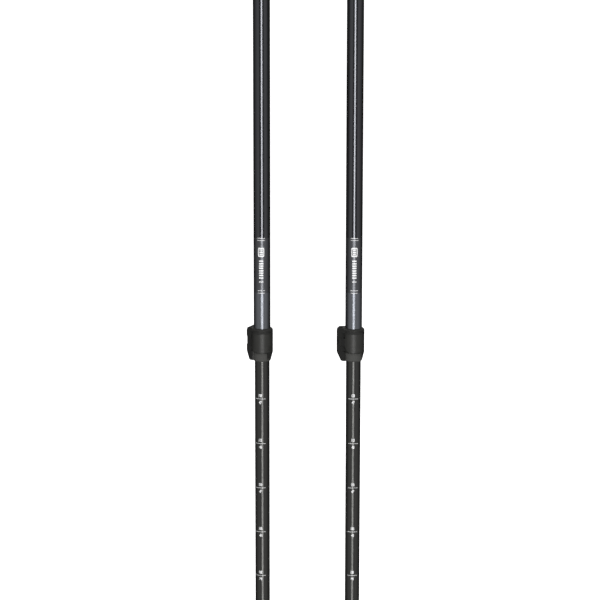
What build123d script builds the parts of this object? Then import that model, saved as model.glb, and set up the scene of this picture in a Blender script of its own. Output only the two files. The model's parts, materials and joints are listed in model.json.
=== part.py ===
"""A pair of two-section trekking poles. Millimetres, +Z up.
The origin is the point of the left pole's tip, on that pole's axis, and both poles stand upright."""
from build123d import *
from math import asin, cos, degrees, radians, sin
import os

os.makedirs("parts", exist_ok=True)

# ---------------------------------------------------------------- driving dimensions
# Whole pole
reading = 1243.5          # length as set, from the tip's point to the top of the cap
longest = 1450.0          # longest setting on the scale
upper_reach = 722.0       # lock's lower rim to the top of the cap
least_overlap = 120.0     # lower tube left inside the upper section at the longest setting
pair_spacing = 98.6      # between the two pole axes
lock_turn = {"left": -26.0, "right": 0.0}   # how far each lock is turned about its tube

# Tubes
upper_r = 9.0
upper_wall = 0.8
lower_r = 8.0
lower_wall = 0.8

# Clearances
seat_gap = 0.05           # between pieces that are glued, pressed or screwed together
run_gap = 0.05            # radial clearance of what slides or turns
face_gap = 0.1            # between flat faces that meet
soft_gap = 0.3            # round soft pieces

# Lock collar
collar_height = 36.0
collar_wall = 1.0         # wall round the upper tube behind the lever
collar_r = 11.7           # rims and back of the collar
seat_height = 10.0        # lower skirt, which holds the lower tube
skirt_r = 9.4
rim_round = 2.6
slit = 1.4
slit_y = 5.2
ridge_depth = 0.35
ridge_width = 0.7
ridge_above = (1.4, 2.8)  # heights of the rim's ridges over the lever
skirt_edge = 1.0          # slope at the skirt's foot
skirt_right = 60.0        # where the skirt's thin front ends, as an angle from the front
shadow_groove = 1.5       # height of the groove under the lever
shadow_depth = 0.5

# Lock lever and its barrel
lever_thick = 1.4
lever_gap = 0.2
lever_z = 10.4
lever_height = 20.2
lever_left = 52.0         # the plate's two ends, as angles from the front
lever_right = 97.0
lever_corner = 2.4
lever_foot_cut = -5.2     # where the sloped cut meets the plate's lower edge
lever_cut_lean = 0.6      # how far that slope runs on below the edge
plate_ends = 4.0          # room past the plate's free end, as an angle
hinge_side = 19.0         # room past its hinge end
web_skew = 5.7            # how far the web's outer end stands off the plate's end, as an angle
web_drop = 1.2
finger_ridges = 4
finger_start = 52.0
finger_step = 5.0
finger_foot = 1.6
finger_pitch = 1.5
lever_open = 92.0         # how far the lever swings
pin_x = -13.8
pin_y = 0.0
pin_r = 2.0
hub_r = 3.6
cam_offset = 0.4
hub_z = 16.6
hub_height = 8.6
shell = 1.0               # of the knuckles, round the slot for the screw
pin_reach = 3.2           # how far the barrel stands past the lever's hub, each way

# Ears
ear_left = -18.1
ear_front = -6.3
ear_bevel_x = -9.5        # the ears' front slants back from here
ear_bevel_y = -1.2        # to here at their left edge
ear_wall = 3.0            # each ear, across the slit
ear_round = 4.5
ear_edge = 1.2
ear_slope = 9.5           # height of the sloped lower corner
ear_foot = -13.6          # where that slope ends

# Tension screw
screw_r = 1.75
screw_head_r = 3.4
screw_head = 2.6
hex_r = 1.5
screw_inside = 0.8        # how far the screw passes the barrel's middle
washer_r = 3.8
washer_thick = 0.8

# Tip end
carbide_r = 1.9
carbide_reach = 3.0
carbide_length = 10.0
ferrule_r = 5.5
ferrule_top = 22.0
ferrule_stem_r = 3.5
ferrule_stem = 13.0
flex_foot_r = 6.4
flex_neck_r = 8.5
neck_below = 4.0          # the neck starts this far under the basket
tip_edge = 0.8            # chamfer on the tip's pieces
cup_taper = 0.7
carbide_cup = 0.6         # hollow in the point's end
carbide_bevel = 0.9
basket_z = 50.0
hub_tall = 12.0
flex_flange_r = 11.2
flex_flange = 2.4
cup_wall = 2.2
cup_depth = 32.0
basket_r = 28.0
basket_hub_r = 12.0
basket_plate = 2.2
basket_rise = 5.0
basket_holes = 6
basket_hole_r = 4.4
basket_hole_at = 19.0
basket_sit = 1.0          # the disc starts this far over the hub's foot
basket_rim = 2.5
basket_root = 3.1         # the disc's thickness where it meets the hub

# Guide bush and plug in the lower tube's top
bush_spigot = 16.0
bush_flange = 10.0
plug_r = 3.0
plug_head_r = 6.4
plug_head = 2.0
plug_stem = 0.5           # stem left between the bush and the plug's head

# Grip end
cap_height = 6.0
grip_length = 130.0
grip_drop = 38.0          # tube's top end below the top of the cap
foam_length = 140.0
foam_r = 14.6
foam_lip = 1.2
foam_groove = 0.9
foam_grooves = 7
core_spigot = 22.0
core_flange = 3.0
head_shift = 3.0          # the grip's head stands back from the tube's axis
foam_edge = 2.5
foam_lip_height = 6.0
foam_flare = 12.0         # the flare to the lip starts this far under the foam's top
foam_first = 12.0         # first groove above the foam's foot
foam_groove_height = 3.0
foam_plain = 30.0         # length of the foam without grooves
cap_half_width = 19.2
cap_half_depth = 25.2
cap_round = 4.2
# Ovals of the grip: depth below the cap's top, half width, half depth, shift to the back
grip_ovals = [(grip_length, 15.4, 17.0, 0.3), (121.0, 16.4, 18.2, 0.4), (111.0, 14.6, 15.8, 0.0),
              (84.0, 15.6, 17.0, -0.4), (60.0, 14.6, 16.0, -0.4), (45.0, 14.0, 15.2, 0.0),
              (34.0, 17.0, 20.5, 1.8), (22.0, 20.0, 26.0, head_shift), (cap_height, 19.4, 25.4, head_shift)]

# Strap
strap_width = 16.0
strap_thick = 2.0
strap_drop = 170.0
strap_bow = 28.0          # radius of the loop's round end
strap_out = 31.0          # how far back the loop's round end hangs
strap_pin_r = 2.0
strap_pin_y = 20.0
strap_pin_drop = 24.0
strap_pin_half = 14.0
slot_half = 8.9
slot_front = 11.5
slot_top = 13.0
slot_foot = 44.0
slot_back = 60.0
eye_gap = 0.2             # between the pin and the strap's eye
wedge_foot = 4.0          # the wedge starts this far over the slot's foot
wedge_top = 1.0
wedge_thin = 2.6
wedge_thick = 3.6
pad_width = 28.0
pad_thick = 3.0
pad_top = 62.0            # the pad starts this far below the strap's pin
pad_slant = 60.0          # height over which its front edge moves back
pad_front = 17.0
pad_front_top = 9.0

# ---------------------------------------------------------------- worked out from them
upper_bore = upper_r - upper_wall
lower_bore = lower_r - lower_wall
rim_z = reading - upper_reach
lower_top = longest - upper_reach + least_overlap
upper_foot = rim_z + seat_height + face_gap
upper_top = reading - grip_drop
recess_r = upper_r + seat_gap + collar_wall
lever_in = recess_r + lever_gap
lever_out = lever_in + lever_thick
lever_top = lever_z + lever_height
cup_foot = basket_z + hub_tall
lower_foot = cup_foot + flex_flange
cup_r = lower_r + seat_gap + cup_wall
foam_foot = reading - grip_length - foam_length
strap_pin_z = reading - strap_pin_drop
hub_mid = hub_z + hub_height / 2
ear_back = slit_y + slit + ear_wall

CUT = 1.0                 # how far a cutting solid passes the face it cuts
BOTTOM = (Align.CENTER, Align.CENTER, Align.MIN)


# ---------------------------------------------------------------- small helpers
def rod(r, z0, z1):
    """A cylinder on the Z axis from z0 to z1."""
    return Pos(0, 0, z0) * Cylinder(r, z1 - z0, align=BOTTOM)


def pipe(r_out, r_in, z0, z1):
    return rod(r_out, z0, z1) - rod(r_in, z0, z1)


def block(x0, x1, y0, y1, z0, z1):
    """A box between two corners."""
    middle = Pos((x0 + x1) / 2, (y0 + y1) / 2, (z0 + z1) / 2)
    return middle * Box(x1 - x0, y1 - y0, z1 - z0)


def turned(points):
    """A solid of revolution from (radius, height) points."""
    face = Plane.XZ * make_face(Polyline(*points, close=True))
    return revolve(face, Axis.Z)


def sector(r, start, end, z0, z1):
    """A pie slice about Z. Angles are from the front (-Y), positive towards +X."""
    step = (end - start) / 8
    rim = [(r * sin(radians(start + i * step)), -r * cos(radians(start + i * step))) for i in range(9)]
    face = make_face(Polyline((0, 0), *rim, close=True))
    return Pos(0, 0, z0) * extrude(face, z1 - z0)


def along_y(r, x, z, y0, y1):
    """A cylinder along +Y from y0 to y1."""
    return Pos(x, y0, z) * Rot(-90, 0, 0) * Cylinder(r, y1 - y0, align=BOTTOM)


# ---------------------------------------------------------------- lock
def ear_outline():
    """The ears' side view: a rounded upper corner and a sloped lower one."""
    corners = [(0, 0), (ear_foot, 0), (ear_left, ear_slope), (ear_left, collar_height), (0, collar_height)]
    face = make_face(Polyline(*corners, close=True))
    upper = face.vertices().sort_by(Axis.Y)[-2:].sort_by(Axis.X)[0]
    face = fillet(upper, ear_round)
    lower = [v for v in face.vertices() if v.Y < ear_slope + 1 and v.X < -1]
    return fillet(lower, rim_round)


def collar():
    """Split collar: skirt round the lower tube, seat for the upper tube, two ears beside the slit."""
    ring = turned([(0, 0), (skirt_r - skirt_edge / 2, 0), (skirt_r, skirt_edge), (collar_r, seat_height),
                   (collar_r, collar_height), (0, collar_height)])
    ears = extrude(Plane.XZ * ear_outline(), ear_back - ear_front)
    sides = ears.faces().sort_by(Axis.Y)
    ears = Pos(0, ear_back, 0) * fillet(sides[0].edges() + sides[-1].edges(), ear_edge)
    bevel = make_face(Polyline((ear_left, ear_bevel_y), (ear_bevel_x, ear_front), (ear_bevel_x, 3 * ear_front),
                               (3 * ear_left, 3 * ear_front), (3 * ear_left, ear_bevel_y), close=True))
    ears -= extrude(bevel, collar_height)
    top = ring.edges().filter_by(GeomType.CIRCLE).sort_by(Axis.Z)[-1]
    ring = fillet(top, rim_round)
    body = ring + ears
    # Recess for the lever's plate, and the thinner front of the skirt below it
    front = sector(3 * collar_r, -lever_left - hinge_side, lever_right + plate_ends, lever_z - lever_gap,
                   lever_top + lever_gap)
    body -= front - rod(recess_r, 0, collar_height)
    skirt_left = -lever_left - 2 * plate_ends
    body -= sector(3 * collar_r, skirt_left, skirt_right, -CUT, lever_z) - rod(skirt_r, -CUT, lever_z)
    groove = sector(3 * collar_r, skirt_left, skirt_right, lever_z - shadow_groove, lever_z)
    body -= groove - rod(skirt_r - shadow_depth, 0, collar_height)
    # Room for the lever's hub, and an oval hole from above for the barrel, which the cam moves a little
    room = hub_r + cam_offset + lever_gap
    hub_space = rod(room, hub_z - lever_gap, hub_z + hub_height + lever_gap)
    notch_top = hub_z + hub_height + lever_gap
    hub_space += block(-2 * room, room, -2 * room, 0, hub_z - lever_gap, notch_top)
    hole_r = pin_r + lever_gap
    pin_hole = rod(hole_r, hub_z - pin_reach - lever_gap, collar_height + CUT)
    pin_hole += Pos(0, -cam_offset, 0) * pin_hole
    body -= Pos(pin_x, pin_y, 0) * (hub_space + pin_hole)
    # Bores, slit and screw hole
    body -= rod(lower_r + run_gap, -CUT, seat_height + CUT)
    body -= rod(upper_r + seat_gap, seat_height, collar_height + CUT)
    body -= block(2 * ear_left, -lower_r / 2, slit_y, slit_y + slit, -CUT, collar_height + CUT)
    body -= along_y(screw_r + lever_gap, pin_x, hub_mid, pin_y, ear_back + CUT)
    # Two fine ridges round the upper rim
    for above in ridge_above:
        z = lever_top + above
        body -= pipe(collar_r + CUT, collar_r - ridge_depth, z, z + ridge_width) & sector(
            2 * collar_r, skirt_left, lever_right + plate_ends, z, z + ridge_width)
    return body


def lever():
    """Cam lever: two knuckles on the barrel, a web, and a plate that wraps round the front."""
    plate = pipe(lever_out, lever_in, lever_z, lever_top) & sector(
        3 * lever_out, -lever_left, lever_right, lever_z, lever_top)
    free_end = plate.faces().filter_by(GeomType.PLANE).sort_by(Axis.X)[-1]
    plate = fillet(free_end.edges().sort_by(Axis.Z)[0], lever_corner)
    # The lower left corner is cut away on a slope, up to the hub's height
    slope = Polyline((ear_left, lever_z - CUT), (ear_left, hub_z), (-lever_in - CUT, hub_z),
                     (lever_foot_cut, lever_z), (lever_foot_cut + lever_cut_lean, lever_z - CUT), close=True)
    plate -= extrude(Plane.XZ * make_face(slope), 2 * lever_out)
    hub = Pos(pin_x, pin_y + cam_offset, 0) * rod(hub_r, hub_z, hub_z + hub_height)
    angle = radians(lever_left)
    skew = radians(lever_left - web_skew)
    web_face = make_face(Polyline(
        (pin_x, pin_y + cam_offset - hub_r),
        (-lever_out * sin(skew), -lever_out * cos(skew)),
        (-lever_in * sin(skew), -lever_in * cos(skew)),
        (-lever_in * sin(angle), -lever_in * cos(angle)),
        (-lever_in - face_gap, pin_y - web_drop),
        (pin_x, pin_y), close=True))
    web = Pos(0, 0, hub_z) * extrude(web_face, hub_height) - rod(lever_in, hub_z, hub_z + hub_height)
    body = plate + hub + web
    # Slot between the knuckles, so that they swing clear of the screw. Its edge follows the opening angle.
    gap = 2 * (screw_r + lever_gap)
    shell_in = pin_r + shell
    slot_edge = lever_open - 180 + degrees(asin((screw_r + lever_gap) / shell_in)) + 1
    body -= Pos(pin_x, pin_y, hub_mid - gap / 2) * (
        rod(2 * hub_r, 0, gap) - sector(3 * hub_r, slot_edge, 90, 0, gap) + rod(shell_in, 0, gap))
    body -= Pos(pin_x, pin_y, 0) * rod(pin_r + run_gap, hub_z - CUT, hub_z + hub_height + CUT)
    # Finger ridges near the plate's free end
    for i in range(finger_ridges):
        z = lever_z + finger_foot + finger_pitch * i
        body -= pipe(lever_out + CUT, lever_out - ridge_depth, z, z + ridge_width) & sector(
            2 * lever_out, finger_start + finger_step * i, lever_right - plate_ends, z, z + ridge_width)
    return body


def barrel():
    """Barrel nut that the lever turns on, cross drilled for the screw."""
    body = Pos(pin_x, pin_y, 0) * rod(pin_r, hub_z - pin_reach, hub_z + hub_height + pin_reach)
    hole_end = pin_y - screw_inside - face_gap
    return body - along_y(screw_r + seat_gap, pin_x, hub_mid, hole_end, pin_y + 2 * pin_r)


def tension_screw():
    """Screw across both ears, with a hex socket in its head."""
    head_y = ear_back + washer_thick + 2 * face_gap
    body = along_y(screw_r, pin_x, hub_mid, pin_y - screw_inside, head_y + screw_head / 4)
    body += along_y(screw_head_r, pin_x, hub_mid, head_y, head_y + screw_head)
    socket = extrude(RegularPolygon(hex_r, 6), screw_head / 2)
    return body - Pos(pin_x, head_y + screw_head / 2, hub_mid) * Rot(-90, 0, 0) * socket


def washer():
    y0 = ear_back + face_gap
    outer = along_y(washer_r, pin_x, hub_mid, y0, y0 + washer_thick)
    return outer - along_y(screw_r + seat_gap, pin_x, hub_mid, y0 - CUT, y0 + washer_thick + CUT)


# ---------------------------------------------------------------- tubes and what is in them
def upper_shaft():
    return pipe(upper_r, upper_bore, upper_foot, upper_top)


def lower_shaft():
    return pipe(lower_r, lower_bore, lower_foot + face_gap, lower_top)


def guide_bush():
    body = rod(lower_bore - seat_gap, lower_top - bush_spigot, lower_top + 2 * face_gap)
    body += rod(upper_bore - run_gap, lower_top + face_gap, lower_top + bush_flange)
    return body - rod(plug_r + seat_gap, lower_top - bush_spigot - CUT, lower_top + bush_flange + CUT)


def shaft_plug():
    top = lower_top + bush_flange + face_gap
    return rod(plug_r, lower_top - bush_spigot, top + plug_stem) + rod(plug_head_r, top, top + plug_head)


# ---------------------------------------------------------------- tip end
def carbide_tip():
    """Hard point with a small cup in its end."""
    return turned([(0, carbide_cup), (carbide_r - carbide_bevel, 0), (carbide_r, carbide_bevel),
                   (carbide_r, carbide_length), (0, carbide_length)])


def tip_ferrule():
    """Holder of the hard point, straight outside so that a rubber cover slides on."""
    body = turned([(0, carbide_reach), (ferrule_r - tip_edge, carbide_reach),
                   (ferrule_r, carbide_reach + tip_edge), (ferrule_r, ferrule_top), (ferrule_stem_r, ferrule_top),
                   (ferrule_stem_r, ferrule_top + ferrule_stem), (0, ferrule_top + ferrule_stem)])
    return body - rod(carbide_r + seat_gap, 0, carbide_length + face_gap)


def flex_tip():
    """Plastic lower end: cone, seat for the basket, flange and the cup round the lower tube."""
    foot = ferrule_top + face_gap
    cup_top = lower_foot + cup_depth
    cup_lip = cup_r - cup_taper
    body = turned([(0, foot), (flex_foot_r - tip_edge, foot), (flex_foot_r, foot + tip_edge),
                   (flex_neck_r, basket_z - neck_below), (flex_neck_r, cup_foot), (flex_flange_r, cup_foot),
                   (flex_flange_r, lower_foot), (cup_r, lower_foot + tip_edge),
                   (cup_lip, cup_top - tip_edge), (cup_lip - tip_edge / 2, cup_top), (0, cup_top)])
    body -= rod(lower_r + seat_gap, lower_foot, cup_top + CUT)
    return body - rod(ferrule_stem_r + seat_gap, foot - CUT, ferrule_top + ferrule_stem + face_gap)


def basket():
    """Dished disc on a hub, with a ring of round holes."""
    foot = basket_z
    top = cup_foot - face_gap
    hub = rod(basket_hub_r, foot, top)
    root = basket_hub_r - CUT
    rim_foot = foot + basket_sit + basket_rise
    disc = turned([(root, foot + basket_sit), (basket_r, rim_foot), (basket_r, rim_foot + basket_plate),
                   (basket_r - basket_rim, rim_foot + basket_plate), (root, foot + basket_sit + basket_root)])
    body = hub + disc
    for i in range(basket_holes):
        hole = Pos(basket_hole_at, 0, 0) * rod(basket_hole_r, foot - CUT, top + CUT)
        body -= Rot(0, 0, 360 * i / basket_holes) * hole
    return body - rod(flex_neck_r + seat_gap, foot - CUT, top + CUT)


# ---------------------------------------------------------------- grip end
def grip_body():
    """Moulded hand grip, lofted through ovals, with the strap's slot open to the back and below."""
    body = loft([Pos(0, shift, reading - down) * Ellipse(wide, deep) for down, wide, deep, shift in grip_ovals])
    body -= rod(upper_r + seat_gap, reading - grip_length - CUT, upper_top + core_flange + 2 * face_gap)
    slot = block(-slot_half, slot_half, slot_front, slot_back, reading - slot_foot, reading - slot_top)
    pin_hole = Pos(0, strap_pin_y, strap_pin_z) * Rot(0, 90, 0) * Cylinder(
        strap_pin_r + seat_gap, 2 * (strap_pin_half + face_gap))
    return body - slot - pin_hole


def grip_cap():
    """Hard cap with a rounded upper edge."""
    oval = Pos(0, head_shift, reading - cap_height + face_gap) * Ellipse(cap_half_width, cap_half_depth)
    body = extrude(oval, cap_height - face_gap)
    return fillet(body.edges().sort_by(Axis.Z)[-1], cap_round)


def grip_core():
    """Hard insert in the tube's top end."""
    top = upper_top + face_gap
    body = rod(upper_bore - seat_gap, upper_top - core_spigot, top + core_flange / 2)
    return body + rod(upper_r, top, top + core_flange)


def grip_extension():
    """Foam sleeve with rounded ends and a row of grooves."""
    z0 = foam_foot
    z1 = reading - grip_length - face_gap
    body = turned([(0, z0), (foam_r - foam_edge, z0), (foam_r, z0 + foam_edge), (foam_r, z1 - foam_flare),
                   (foam_r + foam_lip, z1 - foam_lip_height), (foam_r + foam_lip, z1), (0, z1)])
    pitch = (z1 - z0 - foam_plain) / foam_grooves
    for i in range(foam_grooves):
        z = z0 + foam_first + pitch * i
        body -= pipe(foam_r + CUT, foam_r - foam_groove, z, z + foam_groove_height)
    return body - rod(upper_r + seat_gap, z0 - CUT, z1 + CUT)


def loop_face(inset):
    """The strap's side view: a hull round the pin and the loop's round end, drawn in by inset."""
    eye = strap_pin_r + eye_gap + strap_thick - inset
    bow = strap_bow - inset
    return make_face(make_hull([*Circle(eye).edges(), *(Pos(strap_out, -strap_drop) * Circle(bow)).edges()]))


def across(face, width):
    """Turn a side view (back, up) into a slab of that width, hung on the strap's pin."""
    slab = extrude(Plane.YZ * face, width / 2, both=True)
    return Pos(0, strap_pin_y, strap_pin_z) * slab


def strap():
    """Webbing loop that hangs from the pin behind the grip."""
    return across(loop_face(0) - loop_face(strap_thick), strap_width)


def strap_pad():
    """Soft lining inside the loop's back and round end."""
    inner = loop_face(strap_thick)
    lining = offset(inner, -soft_gap) - offset(inner, -soft_gap - pad_thick)
    corners = [(pad_front, -2 * strap_drop), (pad_front, -pad_top - pad_slant), (pad_front_top, -pad_top),
               (4 * strap_bow, -pad_top), (4 * strap_bow, -2 * strap_drop)]
    lining = lining & make_face(Polyline(*corners, close=True))
    return across(lining, pad_width)


def strap_wedge():
    """Block in the slot that jams the strap against its pin."""
    z0 = reading - slot_foot + wedge_foot
    z1 = reading - slot_top - wedge_top
    front = slot_front + face_gap
    side = make_face(Polyline((front, z0), (front + wedge_thin, z0), (front + wedge_thick, z1), (front, z1),
                              close=True))
    return extrude(Plane.YZ * side, slot_half - soft_gap, both=True)


def strap_pin():
    return Pos(0, strap_pin_y, strap_pin_z) * Rot(0, 90, 0) * Cylinder(strap_pin_r, 2 * strap_pin_half)


# ---------------------------------------------------------------- both poles
straight_pieces = {
    "upper_shaft": upper_shaft, "lower_shaft": lower_shaft, "guide_bush": guide_bush,
    "shaft_plug": shaft_plug, "carbide_tip": carbide_tip, "tip_ferrule": tip_ferrule, "flex_tip": flex_tip,
    "basket": basket, "grip_extension": grip_extension, "grip": grip_body, "grip_core": grip_core,
    "grip_cap": grip_cap, "strap": strap, "strap_pad": strap_pad, "strap_wedge": strap_wedge,
    "strap_pin": strap_pin}
lock_pieces = {
    "lock_collar": collar, "lock_lever": lever, "lock_barrel": barrel, "lock_screw": tension_screw,
    "lock_washer": washer}


def write(name, solid):
    solid.label = name
    export_step(solid, f"parts/{name}.step")
    print(name, round(solid.volume, 1), len(solid.solids()))


for pole_x, side in ((0.0, "left"), (pair_spacing, "right")):
    for name, make in straight_pieces.items():
        write(f"{side}_{name}", Pos(pole_x, 0, 0) * make())
    for name, make in lock_pieces.items():
        write(f"{side}_{name}", Pos(pole_x, 0, rim_z) * Rot(0, 0, lock_turn[side]) * make())
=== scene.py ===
"""Finishes, soft pieces, prints and studio for a pair of trekking poles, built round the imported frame.

Lengths are in metres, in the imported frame: +Z up along the poles, -Y to the front.
Small sizes are written in millimetres times MM."""
import json
from math import acos, atan2, cos, pi, radians, sin, tau
import bmesh
import bpy
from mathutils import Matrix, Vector, noise


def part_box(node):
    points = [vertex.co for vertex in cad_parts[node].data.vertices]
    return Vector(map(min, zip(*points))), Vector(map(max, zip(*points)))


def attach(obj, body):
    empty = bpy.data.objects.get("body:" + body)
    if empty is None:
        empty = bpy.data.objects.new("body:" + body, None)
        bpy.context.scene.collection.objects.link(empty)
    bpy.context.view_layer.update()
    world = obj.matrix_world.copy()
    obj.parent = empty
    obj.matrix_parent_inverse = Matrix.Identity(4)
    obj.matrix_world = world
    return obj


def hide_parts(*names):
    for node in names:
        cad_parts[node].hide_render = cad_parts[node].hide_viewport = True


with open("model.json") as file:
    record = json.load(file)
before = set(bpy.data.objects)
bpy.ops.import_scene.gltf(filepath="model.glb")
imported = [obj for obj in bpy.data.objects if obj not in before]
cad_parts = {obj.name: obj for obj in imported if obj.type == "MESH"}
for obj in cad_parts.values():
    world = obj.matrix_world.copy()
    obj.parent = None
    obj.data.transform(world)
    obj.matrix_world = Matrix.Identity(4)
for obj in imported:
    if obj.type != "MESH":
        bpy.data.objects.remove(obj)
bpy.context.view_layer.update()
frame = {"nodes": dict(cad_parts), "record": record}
nodes = frame["nodes"]
SIDES = ("left", "right")
MM = 0.001


def low(node):
    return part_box(node)[0]


def high(node):
    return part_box(node)[1]


# ---------------------------------------------------------------- places taken from the frame
axis_x = {side: (low(side + "_upper_shaft")[0] + high(side + "_upper_shaft")[0]) / 2 for side in SIDES}
lever_foot = low("left_lock_lever")[2]
lever_top = high("left_lock_lever")[2]
plate_r = high("right_lock_lever")[0] - axis_x["right"]
top_z = high("left_grip_cap")[2]
upper_r = (high("left_upper_shaft")[0] - low("left_upper_shaft")[0]) / 2
lower_r = (high("left_lower_shaft")[0] - low("left_lower_shaft")[0]) / 2


# ---------------------------------------------------------------- shader arithmetic
class Value:
    """One output of a shader node, which takes part in ordinary arithmetic."""

    def __init__(self, paint, socket):
        self.paint = paint
        self.socket = socket

    def sums(self, operation, *others):
        """The result of a math node on this value and the others."""
        values = dict(enumerate((self, *others)))
        return self.paint.node("ShaderNodeMath", {"operation": operation}, values)

    def swapped(self, operation, other):
        """The same with the other value first."""
        return self.paint.node("ShaderNodeMath", {"operation": operation}, {0: other, 1: self})

    def __add__(self, other):
        return self.sums("ADD", other)

    def __sub__(self, other):
        return self.sums("SUBTRACT", other)

    def __mul__(self, other):
        return self.sums("MULTIPLY", other)

    def __rsub__(self, other):
        return self.swapped("SUBTRACT", other)

    __radd__ = __add__
    __rmul__ = __mul__

    def above(self, level):
        return self.sums("GREATER_THAN", level)

    def wave(self, pitch):
        """A sine between 0 and 1 that repeats every pitch."""
        return (self * (tau / pitch)).sums("SINE") * 0.5 + 0.5

    def between(self, start, end):
        """0 up to start, 1 from end, and a smooth step in between."""
        return self.paint.node("ShaderNodeMapRange", {"interpolation_type": "SMOOTHSTEP"},
                               {"Value": self, "From Min": start, "From Max": end})


class Nodes:
    """A node tree, and ways to add to it."""

    def __init__(self, tree):
        self.tree = tree

    def node(self, kind, settings=None, values=None, out=0):
        """Adds a node, makes its settings first, fills or links its inputs, and gives one output."""
        made = self.tree.nodes.new(kind)
        for key, value in (settings or {}).items():
            setattr(made, key, value)
        for key, value in (values or {}).items():
            if isinstance(value, Value):
                self.tree.links.new(value.socket, made.inputs[key])
            else:
                made.inputs[key].default_value = value
        return Value(self, made.outputs[out])

    def parts(self, vector):
        """The x, y and z of a vector."""
        apart = self.node("ShaderNodeSeparateXYZ", {}, {0: vector}).socket.node
        return [Value(self, socket) for socket in apart.outputs]


class Paint(Nodes):
    """A material made of nodes. Constants go on the shader's own sockets."""

    def __init__(self, name, colour, **constants):
        self.material = bpy.data.materials.new(name)
        self.material.use_nodes = True
        super().__init__(self.material.node_tree)
        self.shader = self.tree.nodes["Principled BSDF"]
        self.shader.inputs["Base Color"].default_value = (*colour, 1)
        for socket, value in constants.items():
            self.shader.inputs[socket.replace("_", " ")].default_value = value
        # x is taken from the axis of the pole that the spot is on
        x, self.y, self.z = self.parts(self.node("ShaderNodeTexCoord", out="Object"))
        half = (axis_x["left"] + axis_x["right"]) / 2
        self.x = x - x.above(half) * (axis_x["right"] - axis_x["left"])

    def point(self, x=1.0, y=1.0, z=1.0):
        """The spot on the piece, in metres from its pole's axis, stretched along each axis."""
        return self.node("ShaderNodeCombineXYZ", {}, {0: self.x * x, 1: self.y * y, 2: self.z * z})

    def grain(self, where, scale, detail=3.0):
        return self.node("ShaderNodeTexNoise", {}, {"Vector": where, "Scale": scale, "Detail": detail})

    def cells(self, where, scale, feature="F1"):
        return self.node("ShaderNodeTexVoronoi", {"feature": feature}, {"Vector": where, "Scale": scale})

    def mixed(self, share, first, second):
        """A colour that goes from first to second with share."""
        colours = {6: first, 7: second}
        values = {key: value if isinstance(value, Value) else (*value, 1) for key, value in colours.items()}
        return self.node("ShaderNodeMix", {"data_type": "RGBA"}, {0: share, **values}, out=2)

    def set(self, socket, value):
        self.tree.links.new(value.socket, self.shader.inputs[socket])

    def bump(self, height, depth, strength=1.0):
        """Relief of that depth in metres, from a height between 0 and 1."""
        values = {"Height": height, "Distance": depth, "Strength": strength}
        self.set("Normal", self.node("ShaderNodeBump", {}, values))


# ---------------------------------------------------------------- finishes
# Heights of the two pairs of printed rings on the upper tube, which divide its finish into zones
ring_high = (0.6567, 0.6544)
ring_low = (0.5997, 0.5970)
ring_soft = 0.2 * MM        # half the height over which one zone turns into the next
ear_reach = 11.9 * MM       # the lock's ears stand further out than this
step_reach = 1.8 * MM       # where the lock is narrower, its flanks begin this much nearer
skirt_reach = 9.6 * MM      # the skirt's front lies within this
skirt_drop = 1.4 * MM       # and this far below the lever
side_back = 2.5 * MM        # how far behind the axis the collar's sides go on
# painted shade: a near-black tint that darkens the lock's ears, rim and flanks and the lever's hub and web
painted_shade_tint = (0.0030, 0.0030, 0.0026)


def tube_upper():
    """Anodised tube: glossy blue black above the prints, matt round them, lighter and silkier below."""
    paint = Paint("upper tube", (0.05, 0.05, 0.06), Metallic=1.0, Coat_Roughness=0.12)
    glossy = paint.z.between(ring_high[0] - ring_soft, ring_high[0] + ring_soft)
    silky = 1 - paint.z.between(ring_low[1] - ring_soft, ring_low[1] + ring_soft)
    drawn = paint.grain(paint.point(1, 1, 0.004), 2600.0)
    cloud = paint.grain(paint.point(1, 1, 0.3), 60.0)
    tint = paint.mixed(cloud.between(0.3, 0.7), (0.072, 0.073, 0.079), (0.080, 0.082, 0.088))
    tint = paint.mixed(glossy, tint, (0.050, 0.051, 0.056))
    tint = paint.mixed(silky, tint, (0.115, 0.120, 0.132))
    paint.set("Base Color", tint)
    paint.set("Roughness", 0.36 + 0.04 * drawn - 0.19 * glossy - 0.05 * silky)
    paint.set("Coat Weight", 0.18 * glossy)
    paint.bump(drawn, 0.002 * MM, 0.1)
    return paint.material


def tube_lower():
    """Satin black anodised tube with faint lengthwise drawing marks."""
    paint = Paint("lower tube", (0.028, 0.028, 0.026), Metallic=0.9)
    drawn = paint.grain(paint.point(1, 1, 0.004), 2400.0)
    cloud = paint.grain(paint.point(1, 1, 0.4), 45.0)
    paint.set("Base Color", paint.mixed(cloud, (0.037, 0.037, 0.0355), (0.044, 0.044, 0.042)))
    paint.set("Roughness", 0.28 + 0.04 * drawn)
    paint.bump(drawn, 0.002 * MM, 0.1)
    return paint.material


def moulded(name, dark, light, rough, depth=0.03, scale=1500.0, zones=None):
    """Moulded plastic with a fine spark-eroded texture. zones may change its tint and gloss in places."""
    paint = Paint(name, dark, Specular_IOR_Level=0.3)
    pits = paint.grain(paint.point(), scale, 2.0)
    cloud = paint.grain(paint.point(), 90.0)
    tint = paint.mixed(cloud.between(0.25, 0.75), dark, light)
    gloss = rough - 0.06 + 0.12 * pits
    if zones:
        tint, gloss = zones(paint, tint, gloss)
    paint.set("Base Color", tint)
    paint.set("Roughness", gloss)
    paint.bump(pits, depth * MM, 0.6)
    return paint.material


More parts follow.
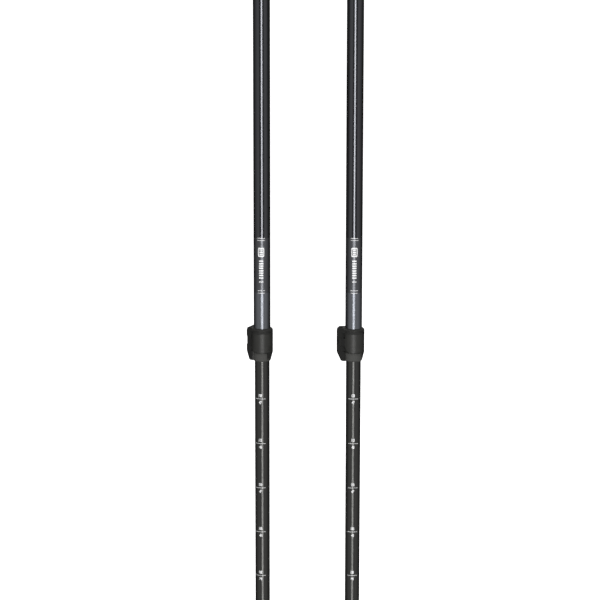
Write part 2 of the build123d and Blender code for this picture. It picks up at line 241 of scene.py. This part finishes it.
def lock_zones(paint, tint, gloss):
    """Coarser, and darkened with painted shade, on the ears, the rim, the skirt's flanks and beside the lever; matter,
    and paler with painted light, on the skirt's front.
    """
    reach = (paint.x * paint.x + paint.y * paint.y).sums("SQRT")
    beside = (1 - paint.z.above(lever_top)) * (1 - paint.y.above(side_back))
    stepped = beside.sums("MAXIMUM", 1 - paint.z.above(lever_foot))
    rim = 0.6 * paint.z.above(lever_top)
    # painted shade: the ears, rim and flanks get a darker tint where light falls off them, and are also made coarser
    coarse_and_shaded = (reach + step_reach * stepped).above(ear_reach).sums("MAXIMUM", rim)
    # painted light: the skirt's front gets a paler tint, as if lit, and is also made matter
    front = (1 - reach.above(skirt_reach)) * (1 - paint.z.above(lever_foot - skirt_drop))
    tint = paint.mixed(front, paint.mixed(coarse_and_shaded, tint, painted_shade_tint), (0.031, 0.031, 0.029))
    return tint, gloss + 0.4 * coarse_and_shaded + 0.3 * front


def lever_zones(paint, tint, gloss):
    """Coarser on the lever's hub and web, which stand out past its plate, and darkened there with painted shade."""
    coarse_and_shaded = (paint.x * paint.x + paint.y * paint.y).sums("SQRT").above(plate_r + 0.2 * MM)
    # painted shade: the hub and web get the dark tint
    return paint.mixed(coarse_and_shaded, tint, painted_shade_tint), gloss + 0.4 * coarse_and_shaded


def steel(name, colour, rough):
    """Turned metal with fine rings and a little staining."""
    paint = Paint(name, colour, Metallic=1.0)
    turned = paint.grain(paint.point(0.2, 0.2, 1), 5200.0)
    stain = paint.grain(paint.point(), 140.0)
    darker = tuple(0.72 * c for c in colour)
    paint.set("Base Color", paint.mixed(stain.between(0.35, 0.8), colour, darker))
    paint.set("Roughness", rough - 0.05 + 0.14 * stain)
    paint.bump(turned, 0.01 * MM, 0.5)
    return paint.material


def foam():
    """Closed-cell foam: open cells on the surface and a rubbed bloom."""
    paint = Paint("foam", (0.02, 0.02, 0.02))
    cells = paint.cells(paint.point(), 1300.0)
    fine = paint.grain(paint.point(), 3200.0)
    rubbed = paint.grain(paint.point(), 55.0)
    paint.set("Base Color", paint.mixed(rubbed.between(0.3, 0.75), (0.018, 0.018, 0.019), (0.034, 0.034, 0.035)))
    paint.set("Roughness", 0.86 + 0.1 * fine)
    paint.bump(cells * 0.7 + fine * 0.3, 0.16 * MM, 0.8)
    return paint.material


def grip_rubber():
    """Soft rubber with a pebbled skin."""
    paint = Paint("grip rubber", (0.02, 0.02, 0.02))
    pebbles = paint.cells(paint.point(), 1000.0, "SMOOTH_F1")
    cloud = paint.grain(paint.point(), 70.0)
    paint.set("Base Color", paint.mixed(cloud, (0.016, 0.016, 0.017), (0.030, 0.030, 0.031)))
    paint.set("Roughness", 0.52 + 0.2 * cloud)
    paint.bump(pebbles, 0.09 * MM, 0.55)
    return paint.material


def webbing():
    """Woven nylon tape: warp ribs along it, weft across it, and a grey line near each edge."""
    paint = Paint("webbing", (0.02, 0.02, 0.02), Roughness=0.82, Sheen_Weight=0.25)
    warp = paint.x.wave(0.9 * MM)
    weft = (paint.z + paint.y).wave(1.5 * MM)
    fuzz = paint.grain(paint.point(), 2600.0)
    across = paint.x.sums("ABSOLUTE")
    line_starts, line_ends = (6.2 * MM, 6.5 * MM), (7.0 * MM, 7.3 * MM)
    edge = across.between(*line_starts) * (1 - across.between(*line_ends))
    tint = paint.mixed(warp * 0.6 + fuzz * 0.4, (0.010, 0.010, 0.011), (0.042, 0.042, 0.044))
    paint.set("Base Color", paint.mixed(edge, tint, (0.16, 0.165, 0.17)))
    paint.bump(warp * 0.45 + weft * 0.4 + fuzz * 0.15, 0.18 * MM, 0.8)
    return paint.material


def lining():
    """Brushed knit over a thin padding."""
    paint = Paint("strap lining", (0.04, 0.04, 0.045), Sheen_Weight=0.5)
    along = paint.z + paint.y
    stitch = 1.1 * MM
    knit = (paint.x + along).wave(stitch) * (paint.x - along).wave(stitch)
    fuzz = paint.grain(paint.point(), 1800.0)
    paint.set("Base Color", paint.mixed(knit * 0.6 + fuzz * 0.4, (0.020, 0.021, 0.024), (0.075, 0.078, 0.084)))
    paint.set("Roughness", 0.85 + 0.1 * fuzz)
    paint.bump(knit * 0.7 + fuzz * 0.3, 0.2 * MM, 0.8)
    return paint.material


def print_ink():
    """White ink, a little worn, so that it is thinner in spots."""
    paint = Paint("print ink", (0.5, 0.5, 0.5), Roughness=0.45)
    worn = paint.grain(paint.point(), 900.0)
    paint.set("Base Color", paint.mixed(worn.between(0.35, 0.75), (0.54, 0.54, 0.54), (0.40, 0.405, 0.41)))
    paint.bump(worn, 0.01 * MM, 0.4)
    return paint.material


def thread():
    """Grey sewing thread with a twist."""
    paint = Paint("thread", (0.2, 0.2, 0.2), Roughness=0.7)
    twist = (paint.z + paint.x * 0.5).wave(0.35 * MM)
    paint.set("Base Color", paint.mixed(twist, (0.12, 0.12, 0.125), (0.24, 0.24, 0.25)))
    paint.bump(twist, 0.05 * MM, 0.6)
    return paint.material


finishes = {
    "upper_tube": tube_upper(), "lower_tube": tube_lower(),
    "bush_plastic": moulded("bush plastic", (0.30, 0.30, 0.29), (0.38, 0.38, 0.37), 0.5),
    "carbide": steel("carbide", (0.30, 0.30, 0.31), 0.34), "steel": steel("steel", (0.50, 0.50, 0.52), 0.27),
    "ferrule_steel": steel("ferrule steel", (0.40, 0.40, 0.42), 0.33),
    "tip_plastic": moulded("tip plastic", (0.012, 0.012, 0.012), (0.018, 0.018, 0.018), 0.44),
    "basket_plastic": moulded("basket plastic", (0.011, 0.011, 0.011), (0.018, 0.018, 0.018), 0.5, 0.05, 900.0),
    "foam": foam(), "grip_rubber": grip_rubber(),
    "cap_plastic": moulded("cap plastic", (0.011, 0.011, 0.012), (0.017, 0.017, 0.018), 0.36),
    "webbing": webbing(), "strap_lining": lining(),
    "lock_plastic": moulded("lock plastic", (0.0085, 0.0085, 0.0075), (0.012, 0.012, 0.0105), 0.50,
                            zones=lock_zones),
    "lever_plastic": moulded("lever plastic", (0.0080, 0.0080, 0.0070), (0.011, 0.011, 0.0096), 0.47,
                             zones=lever_zones)}
ink = print_ink()
sewing_thread = thread()
for row in frame["record"]["subparts"]:
    mesh = nodes[row["node"]].data
    mesh.materials.clear()
    mesh.materials.append(finishes[row["material_slot"]])


# ---------------------------------------------------------------- mesh helpers
def piece(name, points, faces, finish, body, slot=None):
    """A smooth mesh in the frame that rides on a body."""
    shape = bmesh.new()
    corners = [shape.verts.new(p) for p in points]
    for face in faces:
        ends = [corners[i] for i in face]
        if not shape.faces.get(ends):
            shape.faces.new(ends)
    bmesh.ops.recalc_face_normals(shape, faces=shape.faces)
    mesh = bpy.data.meshes.new(name)
    shape.to_mesh(mesh)
    shape.free()
    mesh.shade_smooth()
    mesh.materials.append(finish)
    made = bpy.data.objects.new(name, mesh)
    bpy.context.scene.collection.objects.link(made)
    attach(made, body)
    return made


def skin(rings, joined=False, capped=False):
    """Points and faces of a surface through closed rings of points."""
    count = len(rings[0])
    points = [p for ring in rings for p in ring]
    faces = []
    for i in range(len(rings) if joined else len(rings) - 1):
        a, b = i * count, (i + 1) % len(rings) * count
        faces += [(a + j, a + (j + 1) % count, b + (j + 1) % count, b + j) for j in range(count)]
    if capped:
        faces += [tuple(range(count)), tuple(range(len(points) - count, len(points)))]
    return points, faces


def cut_away(made, cutters):
    """Takes solid cutters out of a piece, and removes them."""
    for cutter in cutters:
        change = made.modifiers.new("cut", "BOOLEAN")
        change.object = cutter
        change.solver = "EXACT"
    bpy.context.view_layer.update()
    graph = bpy.context.evaluated_depsgraph_get()
    mesh = bpy.data.meshes.new_from_object(made.evaluated_get(graph))
    made.modifiers.clear()
    made.data = mesh
    for cutter in cutters:
        bpy.data.objects.remove(cutter)


def through(table, x):
    """The values, at x, of a smooth curve through rows of (x, values...) in rising order of x."""
    i = max([k for k in range(len(table) - 1) if table[k][0] <= x] or [0])
    rows = (table[max(i - 1, 0)], table[i], table[i + 1], table[min(i + 2, len(table) - 1)])
    t = (x - rows[1][0]) / (rows[2][0] - rows[1][0])
    return [0.5 * (2 * s + (e - b) * t + (2 * b - 5 * s + 4 * e - a) * t * t + (3 * s - b - 3 * e + a) * t ** 3)
            for b, s, e, a in list(zip(*rows))[1:]]


def smooth(x, start, end):
    t = min(max((x - start) / (end - start), 0.0), 1.0)
    return t * t * (3 - 2 * t)


# ---------------------------------------------------------------- foam sleeve below the grip
foam_foot = low("left_grip_extension")[2]
foam_top = high("left_grip_extension")[2]
foam_r = 14.6 * MM
foam_lip = 1.2 * MM
bore_r = upper_r + 0.05 * MM
around = 96
groove_count = 7
ungrooved = 30 * MM         # length of the sleeve's two ends together
first_groove = 13.5 * MM
groove_half = 1.6 * MM
groove_depth = 0.95 * MM


def foam_radius(z):
    """Straight sleeve with seven soft grooves, a rounded foot and a lip under the grip."""
    up, down = z - foam_foot, foam_top - z
    radius = foam_r + foam_lip * (1 - smooth(down, 6 * MM, 12 * MM))
    pitch = (foam_top - foam_foot - ungrooved) / groove_count
    for i in range(groove_count):
        off = (up - first_groove - pitch * i) / groove_half
        if abs(off) < 1:
            radius -= groove_depth * (1 - off ** 4)
    for edge, round_off in ((up, 2.5 * MM), (down, 1.0 * MM)):
        if edge < round_off:
            radius -= round_off - (round_off ** 2 - (round_off - edge) ** 2) ** 0.5
    return radius


def foam_sleeve(side):
    steps = 420
    heights = [foam_foot + (foam_top - foam_foot) * i / steps for i in range(steps + 1)]
    profile = [(bore_r, foam_foot)] + [(foam_radius(z), z) for z in heights] + [(bore_r, foam_top)]
    rings = []
    for radius, z in profile:
        ring = []
        for j in range(around):
            turn = tau * j / around
            uneven = 0.07 * MM * noise.noise(Vector((cos(turn), sin(turn), z * 120 + axis_x[side] * 50)) * 3)
            far = radius + (uneven if radius > bore_r else 0)
            ring.append((axis_x[side] + far * sin(turn), -far * cos(turn), z))
        rings.append(ring)
    made = piece(side + "_foam_sleeve", *skin(rings, joined=True), finishes["foam"], side + "_upper", "foam")
    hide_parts(side + "_grip_extension")


# ---------------------------------------------------------------- hand grip
grip_foot = low("left_grip")[2]
grip_top = high("left_grip")[2]
# depth below the cap's top, half width, half depth, shift to the back, in millimetres
grip_ovals = [(6.0, 19.4, 25.4, 3.0), (14.0, 20.2, 26.0, 3.0), (22.0, 19.8, 25.4, 2.8), (34.0, 16.8, 20.0, 1.6),
              (45.0, 14.2, 15.4, 0.1), (60.0, 14.4, 15.8, -0.4), (84.0, 15.5, 16.9, -0.4), (100.0, 15.1, 16.4, -0.2),
              (111.0, 14.7, 15.8, 0.0), (121.0, 16.3, 18.0, 0.4), (130.0, 15.4, 17.0, 0.3)]
finger_pitch = 19.0
finger_depth = 0.75
rib_pitch = 4.6
rib_depth = 0.42
rib_lean = 9                # how far a rib climbs for each radian round the grip
foot_rings = (117.5, 122.0, 126.5)
head_seam = 10.0
pin_y = 20 * MM             # the pin that the strap hangs on
pin_z = top_z - 24 * MM
pin_hole_r = 2.05 * MM
pin_hole_long = 28.2 * MM
slot_size = (17.8 * MM, 48.5 * MM, 31 * MM)
slot_y = 35.75 * MM
slot_z = top_z - 28.5 * MM


def grip_relief(down, turn):
    """Raised or sunk skin in millimetres: finger waves in front, chevron ribs at the sides and back, and a seam."""
    side_turn = abs(turn)
    in_front = 1 - smooth(side_turn, radians(35), radians(75))
    held = smooth(down, 47, 54) * (1 - smooth(down, 104, 111))
    relief = finger_depth * in_front * held * cos(tau * (down - 52) / finger_pitch)
    ribbed = smooth(side_turn, radians(72), radians(80)) * (1 - smooth(side_turn, radians(166), radians(174)))
    ribbed *= smooth(down, 52, 54) * (1 - smooth(down, 112, 114))
    slant = cos(tau * (down + rib_lean * side_turn) / rib_pitch)
    relief += rib_depth * ribbed * (smooth(slant, -0.25, 0.45) - 0.5)
    for ring_at in foot_rings:
        relief -= 0.35 * max(0.0, 1 - ((down - ring_at) / 0.8) ** 2)
    relief -= 0.25 * max(0.0, 1 - ((down - head_seam) / 0.7) ** 2)
    return relief


def hand_grip(side):
    count = 168
    steps = 240
    rings = []
    blind_end = high(side + "_grip_core")[2] + 0.1 * MM
    for z in (blind_end, grip_foot):
        rings.append([(axis_x[side] + bore_r * sin(tau * j / count), -bore_r * cos(tau * j / count), z)
                      for j in range(count)])
    for i in range(steps + 1):
        z = grip_foot + (grip_top - grip_foot) * i / steps
        down = (top_z - z) / MM
        wide, deep, shift = through(grip_ovals, down)
        near_end = min(z - grip_foot, 1.2 * MM) / MM
        round_off = 1.2 - (1.44 - (1.2 - near_end) ** 2) ** 0.5
        ring = []
        for j in range(count):
            turn = tau * j / count
            signed = turn if turn <= pi else turn - tau
            out = grip_relief(down, signed) - round_off
            ring.append((axis_x[side] + (wide + out) * MM * sin(turn), (shift - (deep + out) * cos(turn)) * MM, z))
        rings.append(ring)
    made = piece(side + "_hand_grip", *skin(rings, capped=True), finishes["grip_rubber"], side + "_upper",
                 "grip_rubber")
    bpy.ops.mesh.primitive_cube_add(size=1, location=(axis_x[side], slot_y, slot_z), scale=slot_size)
    slot = bpy.context.object
    bpy.ops.mesh.primitive_cylinder_add(radius=pin_hole_r, depth=pin_hole_long, rotation=(0, pi / 2, 0),
                                        location=(axis_x[side], pin_y, pin_z))
    cut_away(made, [slot, bpy.context.object])
    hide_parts(side + "_grip")


# ---------------------------------------------------------------- wrist strap and its pad
bow = Vector((31 * MM, -170 * MM))      # centre of the loop's round end, from the pin
eye_r = 4.2 * MM                        # outside of the webbing round the pin, and round the bow
bow_r = 28 * MM
belly = 2.2 * MM                        # how far the straight runs swell
tape_inset = 1.0 * MM                   # middle of the webbing, from its outside
tape_half = 8 * MM
tape_half_thick = 0.85 * MM
pad_inset = 3.8 * MM
pad_round = 7 * MM                      # radius of the pad's corners, a quarter of its width
pad_edge = 2 * MM                       # length over which the pad thickens from its ends
pad_thin = 0.35 * MM
pad_swell = 1.15 * MM
quilt_lines = (-8.5 * MM, 8.5 * MM)
quilt_wide = 0.8 * MM
thread_rows = (-6.0 * MM, 6.0 * MM)
thread_half = 0.26 * MM
thread_rise = 0.22 * MM


def loop_path(inset, step=1.0 * MM):
    """Points and outward normals round the loop, from the front run over the pin, down the back and round."""
    a, b = eye_r - inset, bow_r - inset
    lean = atan2(bow.y, bow.x)
    off = acos((a - b) / bow.length)
    back, front = lean + off, lean - off + tau

    def at(centre, radius, turn):
        normal = Vector((cos(turn), sin(turn)))
        return centre + radius * normal, normal

    def arc(centre, radius, start, end):
        pieces = max(8, int(abs(end - start) * radius / step))
        return [at(centre, radius, start + (end - start) * i / pieces) for i in range(pieces)]

    def run(turn, start, end):
        pieces = int((end[0] - start[0]).length / step)
        normal = Vector((cos(turn), sin(turn)))
        return [(start[0].lerp(end[0], i / pieces) + belly * sin(pi * i / pieces) ** 2 * normal, normal)
                for i in range(pieces)]

    pin = Vector((0, 0))
    points = arc(pin, a, front, back) + run(back, at(pin, a, back), at(bow, b, back))
    points += arc(bow, b, back, front - tau)
    return points + run(front, at(bow, b, front), at(pin, a, front))


def tape_ring(x0, spot, normal, half_wide, half_thick, count, flatness, quilt=0.0):
    """A flat rounded section across the tape at one point of its path."""
    ring = []
    for j in range(count):
        turn = tau * j / count
        c, s = cos(turn), sin(turn)
        across = half_wide * (abs(c) ** flatness) * (1 if c > 0 else -1)
        off = half_thick * (abs(s) ** 0.55) * (1 if s > 0 else -1)
        off *= 1 - quilt * sum(2.7 ** -(((across - line) / quilt_wide) ** 2) for line in quilt_lines)
        place = spot + off * normal
        ring.append((x0 + across, pin_y + place.x, pin_z + place.y))
    return ring


def path_length(path):
    return sum((path[i][0] - path[i - 1][0]).length for i in range(len(path)))


def wrist_strap(side):
    path = loop_path(tape_inset)
    rings = [tape_ring(axis_x[side], spot, normal, tape_half, tape_half_thick, 32, 0.4) for spot, normal in path]
    made = piece(side + "_wrist_strap", *skin(rings, joined=True), finishes["webbing"], side + "_strap", "webbing")
    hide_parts(side + "_strap")
    seam = stitching(side)
    path_length(path)


def pad_part(path):
    """The part of the path along which the pad lies: the back run and the round end."""
    return [(spot, normal) for spot, normal in path
            if (normal.x > 0 and spot.y < -62 * MM) or (spot.y < bow.y and spot.x > 18 * MM)]


def strap_pad(side):
    path = pad_part(loop_path(pad_inset, 1.2 * MM))
    rings, gone = [], 0.0
    whole = sum((path[i][0] - path[i - 1][0]).length for i in range(1, len(path)))
    for i, (spot, normal) in enumerate(path):
        gone += (spot - path[i - 1][0]).length if i else 0
        end = min(gone, whole - gone)
        corner, edge = min(end, pad_round), min(end, pad_edge)
        wide = pad_round + (pad_round ** 2 - (pad_round - corner) ** 2) ** 0.5
        thick = pad_thin + pad_swell * (1 - (1 - edge / pad_edge) ** 2) ** 0.5
        rings.append(tape_ring(axis_x[side], spot, normal, wide, thick, 112, 0.6, 0.45))
    made = piece(side + "_pad", *skin(rings, capped=True), finishes["strap_lining"], side + "_strap",
                 "strap_lining")
    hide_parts(side + "_strap_pad")


def stitching(side):
    """Two rows of thread that sew the webbing to the pad, on the webbing's outside."""
    path = pad_part(loop_path(0.12 * MM, 0.5 * MM))[12:-12]
    points, faces = [], []
    for row in thread_rows:
        for i in range(0, len(path) - 5, 6):
            rings = []
            for k, share in ((0, 0.25), (1, 0.9), (2, 1.0), (3, 0.9), (4, 0.25)):
                spot, normal = path[i + k]
                ring = []
                for j in range(8):
                    place = spot + thread_rise * share * sin(tau * j / 8) * normal
                    across = row + thread_half * share * cos(tau * j / 8)
                    ring.append((axis_x[side] + across, pin_y + place.x, pin_z + place.y))
                rings.append(ring)
            more, shapes = skin(rings, capped=True)
            faces += [tuple(len(points) + c for c in face) for face in shapes]
            points += more
    return piece(side + "_pad_stitching", points, faces, sewing_thread, side + "_strap")


# ---------------------------------------------------------------- prints
class Printing:
    """Flat ink shapes in millimetres, across and up, that are then laid round a tube."""

    def __init__(self):
        self.points, self.faces = [], []

    def add(self, points, faces):
        self.faces += [tuple(len(self.points) + c for c in face) for face in faces]
        self.points += points

    def bar(self, wide, tall, up, across=0.0):
        columns = max(2, int(wide / 0.4))
        points = [(across - wide / 2 + wide * i / columns, up + v * tall / 2)
                  for v in (-1, 1) for i in range(columns + 1)]
        self.add(points, [(i, i + 1, columns + i + 2, columns + i + 1) for i in range(columns)])

    def rounded(self, wide, tall, up, inner):
        """A rounded block, or a frame where inner is the share of it that stays open."""
        levels = 5
        rings = []
        for k in range(levels + 1):
            share = 1 - (1 - inner) * k / levels
            ring = []
            for j in range(64):
                c, s = cos(tau * j / 64), sin(tau * j / 64)
                size = share / (abs(c) ** 9 + abs(s) ** 9) ** (1 / 9)
                ring.append((wide / 2 * c * size, up + tall / 2 * s * size))
            rings.append(ring)
        self.add(*skin(rings))

    def figures(self, text, wide, tall, up):
        """A number, centred, in plain condensed type."""
        curve = bpy.data.curves.new("figures", "FONT")
        curve.body = text
        curve.offset = 0.05
        letters = bpy.data.objects.new("figures", curve)
        bpy.context.scene.collection.objects.link(letters)
        bpy.context.view_layer.update()
        graph = bpy.context.evaluated_depsgraph_get()
        mesh = bpy.data.meshes.new_from_object(letters.evaluated_get(graph))
        bpy.data.objects.remove(letters)
        spots = [v.co for v in mesh.vertices]
        left, right = min(p.x for p in spots), max(p.x for p in spots)
        foot, head = min(p.y for p in spots), max(p.y for p in spots)
        narrow, size = wide / (right - left), tall / (head - foot)
        shape = bmesh.new()
        shape.from_mesh(mesh)
        bmesh.ops.scale(shape, vec=(narrow, size, 1), verts=shape.verts)
        bmesh.ops.triangulate(shape, faces=shape.faces)
        for _ in range(3):
            long_edges = [e for e in shape.edges if e.calc_length() > 0.55]
            bmesh.ops.subdivide_edges(shape, edges=long_edges, cuts=1)
            bmesh.ops.triangulate(shape, faces=shape.faces)
        shape.verts.index_update()
        middle_x, middle_y = narrow * (left + right) / 2, size * (foot + head) / 2
        points = [(v.co.x - middle_x, up + v.co.y - middle_y) for v in shape.verts]
        self.add(points, [tuple(v.index for v in f.verts) for f in shape.faces])
        shape.free()

    def lay(self, name, side, radius, centre, body):
        """Wraps the shapes round the tube. centre is the angle from the front of their middle."""
        spots = []
        for across, up in self.points:
            turn = centre + across * MM / radius
            spots.append((axis_x[side] + radius * sin(turn), -radius * cos(turn), up * MM))
        return piece(name, spots, self.faces, ink, side + body)


scale_turn = {"left": radians(-13.5), "right": radians(-0.5)}
emblem_turn = {"left": radians(-4.5), "right": radians(1.5)}
scale_zero = 720.0          # a mark stands this far below its own length
mark_line = (11.4, 0.42)    # width and height
centimetres = (3.5, 3.4, 3.7)           # width, height, and how far above the line
inches = (3.1, 3.4, -4.0)
ring_line = (8.0, 0.5)
frame_size = (6.7, 10.0)
frame_up = 641.5
frame_open = 0.74
frame_blocks = ((1.3, -2.5), (1.9, 0.0), (1.3, 2.5))    # height, and how far above the frame's middle
bar_heights = (632.0, 629.2, 626.6, 624.2, 621.4, 618.9, 616.4, 613.6, 609.3)
lower_ink = 0.022 * MM      # how far the ink's surface stands off the tube
upper_ink = 0.03 * MM


def length_scale(side):
    """Marks every 5 cm, with centimetres above and inches below each line."""
    marks = Printing()
    for reading in range(95, 150, 5):
        height = reading * 10 - scale_zero
        marks.bar(*mark_line, height)
        for number, (wide, tall, up) in ((reading, centimetres), (round(reading / 2.54), inches)):
            marks.figures(str(number), wide, tall, height + up)
    marks.lay(side + "_length_scale", side, lower_r + lower_ink, scale_turn[side], "_lower")


def upper_print(side):
    """Two pairs of rings, a plain rounded frame with three blocks in it, and a row of plain bars."""
    marks = Printing()
    for height in (*ring_high, *ring_low):
        marks.bar(*ring_line, height / MM)
    marks.rounded(*frame_size, frame_up, frame_open)
    for tall, up in frame_blocks:
        marks.bar(3.6, tall, frame_up + up)
    for i, height in enumerate(bar_heights):
        marks.bar(4.6, 1.5 if i < 8 else 0.9, height)
    marks.lay(side + "_upper_print", side, upper_r + upper_ink, emblem_turn[side], "_upper")


for side in SIDES:
    foam_sleeve(side)
    hand_grip(side)
    strap_pad(side)
    wrist_strap(side)
    length_scale(side)
    upper_print(side)


# ---------------------------------------------------------------- studio
view_tilt = radians(12.0)
view_distance = 2.54
view_target = Vector((0.0408, 0.0, 0.58775))
backwards = Vector((0.0, -cos(view_tilt), sin(view_tilt)))
camera = bpy.data.objects.new("camera", bpy.data.cameras.new("camera"))
bpy.context.scene.collection.objects.link(camera)
camera.location = view_target + view_distance * backwards
camera.rotation_euler = backwards.to_track_quat("Z", "Y").to_euler()
camera.rotation_euler.rotate_axis("Z", radians(0.07))
camera.data.lens = 141.8
camera.data.sensor_width = 36.0
camera.data.clip_end = 200.0
bpy.context.scene.camera = camera
bpy.context.scene.view_settings.view_transform = "Standard"

floor_z = -0.207            # just under the tips at the poles' longest setting
bpy.ops.mesh.primitive_circle_add(vertices=96, radius=60, fill_type="NGON", location=(0, 0, floor_z))
floor = bpy.context.object
floor.name = "floor"
floor_paint = Paint("pale floor", (0.8, 0.8, 0.8), Roughness=1.0, Emission_Strength=0.95)
mottle = floor_paint.grain(floor_paint.point(), 3.0)
floor_paint.set("Base Color", floor_paint.mixed(mottle, (0.80, 0.80, 0.80), (0.83, 0.83, 0.83)))
floor_paint.shader.inputs["Emission Color"].default_value = (1, 1, 1, 1)
floor.data.materials.append(floor_paint.material)
floor.visible_glossy = False
floor.visible_shadow = False
floor.visible_diffuse = False


def soft_light(name, spot, aim, size, power):
    """An area light that shows in reflections, and isn't itself seen."""
    lamp = bpy.data.lights.new(name, "AREA")
    lamp.shape = "RECTANGLE"
    lamp.size, lamp.size_y = size
    lamp.energy = power
    holder = bpy.data.objects.new(name, lamp)
    bpy.context.scene.collection.objects.link(holder)
    holder.location = spot
    holder.rotation_euler = (Vector(aim) - Vector(spot)).to_track_quat("-Z", "Y").to_euler()
    holder.visible_camera = False
    return holder


middle_x = sum(axis_x.values()) / 2
soft_light("front strip", (middle_x + 0.02, -2.3, 0.45), (middle_x + 0.02, 0, 0.45), (0.54, 3.4), 84.0)
soft_light("front overhead", (middle_x, -1.7, 2.7), (middle_x, 0, 0.6), (1.6, 1.2), 36.0)
soft_light("back overhead", (middle_x, 1.7, 2.9), (middle_x, 0, 0.6), (1.6, 1.2), 45.0)
soft_light("overhead", (middle_x, 0.3, 3.2), (middle_x, 0, 0.5), (2.4, 2.4), 25.0)


def studio_world():
    """Light by its angle from the front: dark ahead, brightest at 40 degrees to each side, and dim behind.

    The camera itself sees plain white there."""
    world = bpy.data.worlds.new("studio")
    world.use_nodes = True
    bpy.context.scene.world = world
    sky = Nodes(world.node_tree)
    facing = sky.node("ShaderNodeTexCoord", out="Generated")
    x, y, z = sky.parts(facing)
    turn = x.sums("ARCTAN2", 0 - y).sums("ABSOLUTE")
    lobes = turn.between(radians(20), radians(40)) * (1 - turn.between(radians(40), radians(138)))
    rear = turn.between(radians(150), radians(170))
    seen = sky.node("ShaderNodeLightPath", out="Is Camera Ray")
    strength = (0.006 + 0.90 * lobes + 0.08 * rear) * (1 - seen) + seen
    backdrop = world.node_tree.nodes["Background"]
    backdrop.inputs["Color"].default_value = (1, 1, 1, 1)
    world.node_tree.links.new(strength.socket, backdrop.inputs["Strength"])


studio_world()
